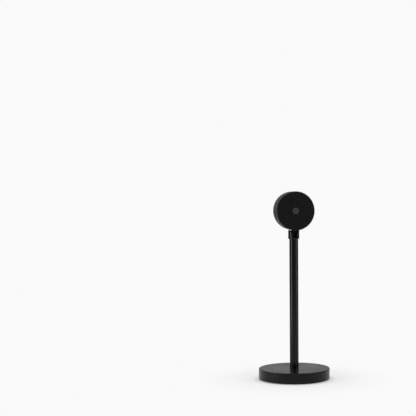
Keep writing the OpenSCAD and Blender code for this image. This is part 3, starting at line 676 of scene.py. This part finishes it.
black_oxide = bare_metal(
    "blackened_steel", (0.055, 0.055, 0.058, 1), (0.025, 0.023, 0.022, 1), 0.34, tuple(HINGE), ALONG_HINGE,
    0.15 * MM, cloud_size=1.5 * MM,
)
dress(black_oxide, "tilt_bolt", "tilt_nut")
print("blackened:", [n for n, o in nodes.items() if o.data.materials[0] == black_oxide])

# %% [markdown]
# ## Under the base
#
# Three things fill and close the base from below: the pad, the plate above it and the weight inside.
# When the lamp lies on its side, the pad shows, with a narrow ring of the plate round it. The pad is
# closed-cell foam, so small bubbles cut open by the knife pit its face. Real holes would take
# hundreds of thousands of faces, so Voronoi cells press them into the shading only, and their
# colour is darker inside as painted shade.

# %% Finish the foam pad
foam, tree, shader = new_material("pad_foam", Specular_IOR_Level=0.2)
place = object_place(tree)
bubbles = cells(tree, place, 2600.0, {"Smoothness": 0.3}, feature="SMOOTH_F1")
soft = noise(tree, place, 140.0, Detail=4.0)
pores = spread(tree, bubbles, 0, 1, start=0.1, end=0.6)
pit_shade_and_tone = calculate(tree, "MULTIPLY", pores, soft)
# painted shade: the colour is darker in the pits, and a soft noise varies the tone between them
foam_colour = blend_colours(tree, pit_shade_and_tone, grey(0.012), (0.04, 0.04, 0.041, 1))
fill(tree, shader, {"Base Color": foam_colour, "Roughness": spread(tree, soft, 0.86, 0.98)})
set_bump(tree, shader, pores, 120 * MICRON)
dress(foam, "foot_pad")
print("foam nodes:", len(tree.nodes))

# %% [markdown]
# The plate is zinc-coated sheet. Its zinc froze in flat crystals a few millimetres across, each of
# its own grey, and the rolls left fine scratches. Straight cell borders would look like cut glass,
# so a noise bends the coordinates before the cells are laid out.

# %% Finish the zinc plate
CRYSTAL_BEND = (1.2 * MM, 1.2 * MM, 0.0)

zinc, tree, shader = new_material("zinc_spangle", Metallic=1.0)
place = object_place(tree)
wander = {"Vector": place, "Scale": 300.0, "Detail": 2.0}
wander = add_node(tree, "ShaderNodeTexNoise", wander).outputs[1]
bent = combine(tree, "ADD", place, combine(tree, "MULTIPLY", wander, CRYSTAL_BEND))
crystal = cells(tree, bent, 210.0, output="Color")
crystal = add_node(tree, "ShaderNodeSeparateColor", {0: crystal}).outputs[0]
rolled = add_node(tree, "ShaderNodeMapping", {"Vector": place, "Scale": (1, 30, 1)}).outputs["Vector"]
scratches = noise(tree, rolled, 90.0, Detail=3.0)
zinc_colour = blend_colours(tree, crystal, (0.42, 0.43, 0.44, 1), (0.62, 0.63, 0.65, 1))
rough = calculate(tree, "ADD", spread(tree, crystal, 0.30, 0.46), spread(tree, scratches, 0, 0.1))
fill(tree, shader, {"Base Color": zinc_colour, "Roughness": rough})
set_bump(tree, shader, scratches, 6 * MICRON)
dress(zinc, "bottom_plate")
print("zinc nodes:", len(tree.nodes))

# %% [markdown]
# The weight above the plate is cast iron: rough from the sand of its mould, with some rust in the
# pits. The rust follows both the clouds of the tarnish group and the low spots of the sand.

# %% Finish the cast weight
cast, tree, shader = new_material("cast_iron", Metallic=0.8)
place = object_place(tree)
sand = noise(tree, place, 900.0, Detail=5.0, Roughness=0.65)
skin = use_group(tree, tarnish, Vector=place, Cloud_Size=12 * MM)
rust = calculate(tree, "MULTIPLY", skin["Cloud"], spread(tree, sand, 1, 0, start=0.35, end=0.55))
iron_colour = blend_colours(tree, rust, (0.13, 0.128, 0.125, 1), (0.11, 0.055, 0.028, 1))
fill(tree, shader, {"Base Color": iron_colour, "Roughness": spread(tree, sand, 0.5, 0.75, start=0.3, end=0.7)})
set_bump(tree, shader, sand, 180 * MICRON)
dress(cast, "ballast")
print("cast iron nodes:", len(tree.nodes))

# %% [markdown]
# ## Circuit boards
#
# A board is green or white solder mask over copper. The copper shows through as slightly raised,
# lighter lines, which run in straight bundles that change direction from area to area, and as bare
# tinned pads. A drawn layout would need an image, so a square cell pattern picks each area's
# direction, and a wave across that direction makes its lines.

# %% Group: circuit
circuit, given, result = new_group(
    "circuit", {"Vector": (0.0, 0.0, 0.0), "Pitch": 0.7 * MM}, ("Trace", "Pad")
)
area = cells(
    circuit, given["Vector"], 190.0, {"Randomness": 0.6}, "Color",
    distance="CHEBYCHEV", voronoi_dimensions="2D",
)
area = add_node(circuit, "ShaderNodeSeparateColor", {0: area}).outputs[0]
pick = calculate(circuit, "GREATER_THAN", area, 0.5)
across = calculate(circuit, "MULTIPLY", along(circuit, given["Vector"], "X"), pick)
other = calculate(circuit, "SUBTRACT", 1.0, pick)
upright = calculate(circuit, "MULTIPLY", along(circuit, given["Vector"], "Y"), other)
line = calculate(circuit, "DIVIDE", calculate(circuit, "ADD", across, upright), given["Pitch"])
line = calculate(circuit, "PINGPONG", line, 0.5)
pads = cells(circuit, given["Vector"], 420.0, {"Randomness": 0.35}, voronoi_dimensions="2D")
trace = spread(circuit, line, 0, 1, start=0.24, end=0.30)
fill(circuit, result, {"Trace": trace, "Pad": spread(circuit, pads, 1, 0, start=0.13, end=0.17)})
print("circuit nodes:", len(circuit.nodes))

# %% [markdown]
# The parts on a board are one solid with it, so a second material can't go on them by node. They
# stand above the board's face, and each fits in a box of its own, so a mask that is 1 inside a box
# gives each part its colour.

# %% Group: inside a box
in_box, given, result = new_group(
    "in_box", {"Vector": (0.0, 0.0, 0.0), "Centre": (0.0, 0.0, 0.0), "Half": (1.0, 1.0, 1.0)}, ("Mask",)
)
apart = combine(in_box, "ABSOLUTE", combine(in_box, "SUBTRACT", given["Vector"], given["Centre"]))
apart = combine(in_box, "SUBTRACT", apart, given["Half"])
sides = [along(in_box, apart, axis) for axis in "XYZ"]
farthest = calculate(in_box, "MAXIMUM", calculate(in_box, "MAXIMUM", sides[0], sides[1]), sides[2])
fill(in_box, result, {"Mask": calculate(in_box, "LESS_THAN", farthest, 0.0)})
print("groups:", [g.name for g in bpy.data.node_groups])

# %% [markdown]
# Both green boards carry a black chip, a dark grey ferrite coil and a row of tan ceramic capacitors.
# The white one carries the light source, and its mask is white so that it throws no light away.
# Mask, copper and pads are mixed first, and then each part's box covers them.

# %% Make a board's material
SOLDER_GREEN, COPPER_GREEN = (0.012, 0.115, 0.045, 1), (0.05, 0.24, 0.09, 1)
SOLDER_WHITE, COPPER_WHITE = (0.80, 0.80, 0.78, 1), (0.66, 0.67, 0.66, 1)
TINNED = (0.62, 0.61, 0.58, 1)


def board(name, mask_colour, copper_colour, turn, parts, tint_share=0.55):
    """A circuit board. parts lists (centre, half size, colour) in metres, in the turned place."""
    material, tree, shader = new_material(name)
    place = object_place(tree, turn=turn)
    lines = use_group(tree, circuit, Vector=place)
    skin = use_group(tree, moulded_grain, Vector=place, Grain_Size=0.9 * MM)
    tint = calculate(tree, "MULTIPLY", lines["Trace"], tint_share)
    colour = blend_colours(tree, lines["Pad"], blend_colours(tree, tint, mask_colour, copper_colour), TINNED)
    metal, rough = lines["Pad"], spread(tree, lines["Pad"], 0.38, 0.28)
    for centre, half, part_colour in parts:
        mask = use_group(tree, in_box, Vector=place, Centre=centre, Half=half)["Mask"]
        clear = calculate(tree, "SUBTRACT", 1.0, mask)
        colour = blend_colours(tree, mask, colour, part_colour)
        metal = calculate(tree, "MULTIPLY", metal, clear)
        matt = calculate(tree, "MULTIPLY", mask, 0.55)
        rough = calculate(tree, "ADD", calculate(tree, "MULTIPLY", rough, clear), matt)
    streak = spread(tree, skin["Streak"], 0.85, 1.15, start=0.3, end=0.7)
    fill(tree, shader, {"Base Color": shaded(tree, streak, colour), "Metallic": metal, "Roughness": rough})
    set_bump(tree, shader, lines["Trace"], 30 * MICRON)
    return material


print("board helper:", board.__name__, "with pads of", TINNED[:3])

# %% [markdown]
# The sizes and places of the parts are those of the solids, in millimetres. The board in the base
# lies flat, and its parts are counted from its rear edge. The driver board stands upright in the
# drum, with its parts on the side of the rear wall. Their places are written in the turned
# coordinates that its material uses: X, minus the height, and Y.

# %% Finish the boards
CHIP, FERRITE, CERAMIC = (0.014, 0.014, 0.015, 1), (0.05, 0.05, 0.052, 1), (0.45, 0.29, 0.14, 1)
POWER_BOARD_T, DRIVER_BOARD_T = 1.2, 1.0
PART_H, PART_MIDDLE, AROUND = 4, 2.1, 0.05


def part(x, y, z, width, depth, colour):
    """One part on a board, given in millimetres by its middle and size, with a little around it."""
    half = tuple((size / 2 + AROUND) * MM for size in (width, depth, PART_H))
    return (x * MM, y * MM, z * MM), half, colour


low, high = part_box("power_board")
edge_y, face_z = low.y / MM, low.z / MM + POWER_BOARD_T + PART_MIDDLE
power_parts = [
    part(-4.3, edge_y + 11.5, face_z, 4.4, 5, CHIP),
    part(4.6, edge_y + 11.5, face_z, 6, 6, FERRITE),
    *(part(x, edge_y + 6.45, face_z, 1.6, 0.9, CERAMIC) for x in (-5.2, -1.8)),
]
low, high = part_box("driver_board")
rear_y, beam_z = high.y / MM - DRIVER_BOARD_T - PART_MIDDLE, BEAM.z / MM
driver_parts = [
    part(9.5, -(beam_z + 0.5), rear_y, 5, 5, CHIP),
    part(-11, -(beam_z - 1), rear_y, 6, 6, FERRITE),
    *(part(x, -(beam_z - 9.45), rear_y, 1.6, 0.9, CERAMIC) for x in (-4, 0, 4)),
]
dress(board("power_board_green", SOLDER_GREEN, COPPER_GREEN, (0, 0, 0), power_parts), "power_board")
dress(board("driver_board_green", SOLDER_GREEN, COPPER_GREEN, FACING_BEAM, driver_parts), "driver_board")
dress(board("led_board_white", SOLDER_WHITE, COPPER_WHITE, FACING_BEAM, [], 0.4), "led_board")
print("power board parts:", len(power_parts), "driver board parts:", len(driver_parts))

# %% [markdown]
# ## Contacts in the power inlet
#
# The tongue in the middle of the inlet carries a row of gold-plated contacts on both faces, half a
# millimetre apart. They lie flush in the moulded plastic, so they need a colour and not a shape. A
# wave across the tongue makes the strips, and a box keeps them on the tongue, short of its tip.

# %% Gild the contacts
CONTACT_PITCH, CONTACT_W = 0.5 * MM, 0.26 * MM
CONTACTS_HALF = (3.0 * MM, 1.6 * MM, 0.4 * MM)
CONTACTS_FROM_TIP = 1.85 * MM
GOLD = (0.86, 0.62, 0.24, 1)

core = plastic("inlet_core_plastic", (0.014, 0.014, 0.015, 1), 0.42)
tree = core.node_tree
shader = tree.nodes["Principled BSDF"]
moulded = shader.inputs["Base Color"].links[0].from_socket
dull = shader.inputs["Roughness"].links[0].from_socket
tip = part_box("inlet_insert")[1].y
tongue = (0, tip - CONTACTS_FROM_TIP, middle("inlet_shell").z)
place = object_place(tree)
on_tongue = use_group(tree, in_box, Vector=place, Centre=tongue, Half=CONTACTS_HALF)["Mask"]
strips = calculate(tree, "PINGPONG", along(tree, place, "X"), CONTACT_PITCH / 2)
strips = calculate(tree, "GREATER_THAN", strips, (CONTACT_PITCH - CONTACT_W) / 2)
contacts = calculate(tree, "MULTIPLY", on_tongue, strips)
smooth = calculate(tree, "SUBTRACT", dull, calculate(tree, "MULTIPLY", contacts, 0.15))
gilt = blend_colours(tree, contacts, moulded, GOLD)
fill(tree, shader, {"Base Color": gilt, "Metallic": contacts, "Roughness": smooth})
dress(core, "inlet_insert")
print("contacts on each face:", round(2 * CONTACTS_HALF[0] / CONTACT_PITCH))

# %% [markdown]
# ## Leads
#
# The leads are silicone, which stays matt and soft, with a faint lengthwise drag from the die. One
# of each pair is charcoal and the other black, so that they can't be swapped. Both are in one node,
# and they lie side by side across X, so the sign of X tells them apart.

# %% Colour the leads
lead, tree, shader = new_material("silicone_leads", Specular_IOR_Level=0.35)
place = object_place(tree)
side = calculate(tree, "GREATER_THAN", along(tree, place, "X"), 0.0)
grain = use_group(tree, moulded_grain, Vector=place, Grain_Size=0.15 * MM)
value = spread(tree, grain["Streak"], 0.85, 1.15, start=0.3, end=0.7)
pair = blend_colours(tree, side, grey(0.010), (0.035, 0.035, 0.036, 1))
matt = spread(tree, grain["Gloss"], 0.5, 0.66, start=0.3, end=0.7)
fill(tree, shader, {"Base Color": shaded(tree, value, pair), "Roughness": matt})
set_bump(tree, shader, grain["Height"], 8 * MICRON)
dress(lead, "supply_lead", "head_lead", "led_leads")
print("leads:", [n for n, o in nodes.items() if o.data.materials[0] == lead])

# %% [markdown]
# ## Light source and optics
#
# The lamp is switched on. A white light-emitting diode sits under a dome of yellow phosphor gel on
# a pale ceramic plate. Both are one solid, so the distance from the beam's axis tells the gel from
# the plate, and only the gel gives light.

# %% Light the diode
GEL_R = 2.4 * MM

phosphor, tree, shader = new_material("phosphor_gel", Emission_Strength=3.0, Subsurface_Weight=0.2)
place = object_place(tree, offset=tuple(BEAM), turn=FACING_BEAM)
powder = noise(tree, place, 5200.0, Detail=2.0)
gel = calculate(tree, "LESS_THAN", from_axis(tree, place), GEL_R)
yellow = blend_colours(tree, powder, (0.86, 0.66, 0.05, 1), (0.98, 0.82, 0.16, 1))
fill(tree, shader, {
    "Base Color": blend_colours(tree, gel, (0.82, 0.81, 0.78, 1), yellow),
    "Roughness": spread(tree, gel, 0.5, 0.3),
    "Emission Color": blend_colours(tree, gel, grey(0.0), (1.0, 0.88, 0.62, 1)),
})
set_bump(tree, shader, powder, 10 * MICRON)
dress(phosphor, "led_emitter")
print("gel radius in mm:", round(GEL_R / MM, 2))

# %% [markdown]
# Perfectly clean glass looks like nothing at all. The filter and the lens have been touched and
# wiped, which leaves patches of fine ridges that only dull the glass. One group makes them for
# both, and each piece of glass sets its own amount.

# %% Group: smudges
smudges, given, result = new_group("smudges", {"Vector": (0.0, 0.0, 0.0), "Amount": 1.0}, ("Smudge",))
patches = noise(smudges, given["Vector"], 110.0, Detail=4.0, Distortion=0.5)
ridges = noise(smudges, given["Vector"], 700.0, Detail=2.0, Distortion=2.5)
patches = spread(smudges, patches, 0, 1, start=0.5, end=0.68)
ridges = spread(smudges, ridges, 0.4, 1, start=0.35, end=0.6)
wiped = calculate(smudges, "MULTIPLY", patches, ridges)
fill(smudges, result, {"Smudge": calculate(smudges, "MULTIPLY", wiped, given["Amount"])})
print("smudges nodes:", len(smudges.nodes))

# %% [markdown]
# The light passes a glass filter, which is orange over most of its face and turns yellow in a
# narrow band at the rim, as filters of this kind do. Light could be traced through both pieces of
# glass, but that takes far more samples than a still picture has, so the filter glows by itself. A
# colour ramp from the beam's axis to the rim gives the bands, and a noise keeps them from being
# perfect circles.

# %% Colour the filter
BANDS = (
    (0.0, (1.0, 0.36, 0.035, 1)),
    (0.45, (1.0, 0.31, 0.012, 1)),
    (0.78, (0.98, 0.27, 0.008, 1)),
    (0.9, (1.0, 0.45, 0.012, 1)),
    (1.0, (1.0, 0.72, 0.06, 1)),
)

sunset, tree, shader = new_material("sunset_filter", Emission_Strength=1.0, IOR=1.5, Transmission_Weight=0.35)
place = object_place(tree, offset=tuple(BEAM), turn=FACING_BEAM)
reach = calculate(tree, "DIVIDE", from_axis(tree, place), LENS_R)
waver = noise(tree, place, 70.0, Detail=3.0)
reach = calculate(tree, "ADD", reach, spread(tree, waver, -0.03, 0.03, start=0.3, end=0.7))
bands = add_node(tree, "ShaderNodeValToRGB", {"Fac": reach})
ramp = bands.color_ramp
for end, (position, colour) in ((0, BANDS[0]), (1, BANDS[-1])):
    ramp.elements[end].position, ramp.elements[end].color = position, colour
for position, colour in BANDS[1:-1]:
    ramp.elements.new(position).color = colour
film = use_group(tree, smudges, Vector=place, Amount=0.12)
fill(tree, shader, {
    "Base Color": bands.outputs["Color"],
    "Emission Color": bands.outputs["Color"],
    "Roughness": calculate(tree, "ADD", 0.12, film["Smudge"]),
})
dress(sunset, "filter_glass")
print("filter radius in mm:", round(LENS_R / MM, 2), "bands:", len(BANDS))

# %% [markdown]
# The lens is clear pressed glass, with a very low swell from the press. It lets nearly all light
# through, so it shows by its highlights and by how it bends what lies behind it. A rubber ring
# clamps it behind the bezel.

# %% Clear lens and its ring
glass, tree, shader = new_material(
    "lens_glass", Base_Color=(0.985, 0.995, 0.99, 1), IOR=1.52, Transmission_Weight=1.0
)
place = object_place(tree, offset=tuple(BEAM), turn=FACING_BEAM)
touch = use_group(tree, smudges, Vector=place, Amount=0.10)
fill(tree, shader, {"Roughness": calculate(tree, "ADD", 0.012, touch["Smudge"])})
set_bump(tree, shader, noise(tree, place, 120.0), 6 * MICRON)
dress(glass, "projection_lens")
rubber = plastic("gasket_rubber", grey(0.016), 0.68, grain_size=0.4 * MM, depth=10 * MICRON)
dress(rubber, "lens_gasket")
finishes = {name: [slot for slot in solid.data.materials if slot.use_nodes] for name, solid in nodes.items()}
print("undressed nodes:", [name for name, found in finishes.items() if not found])
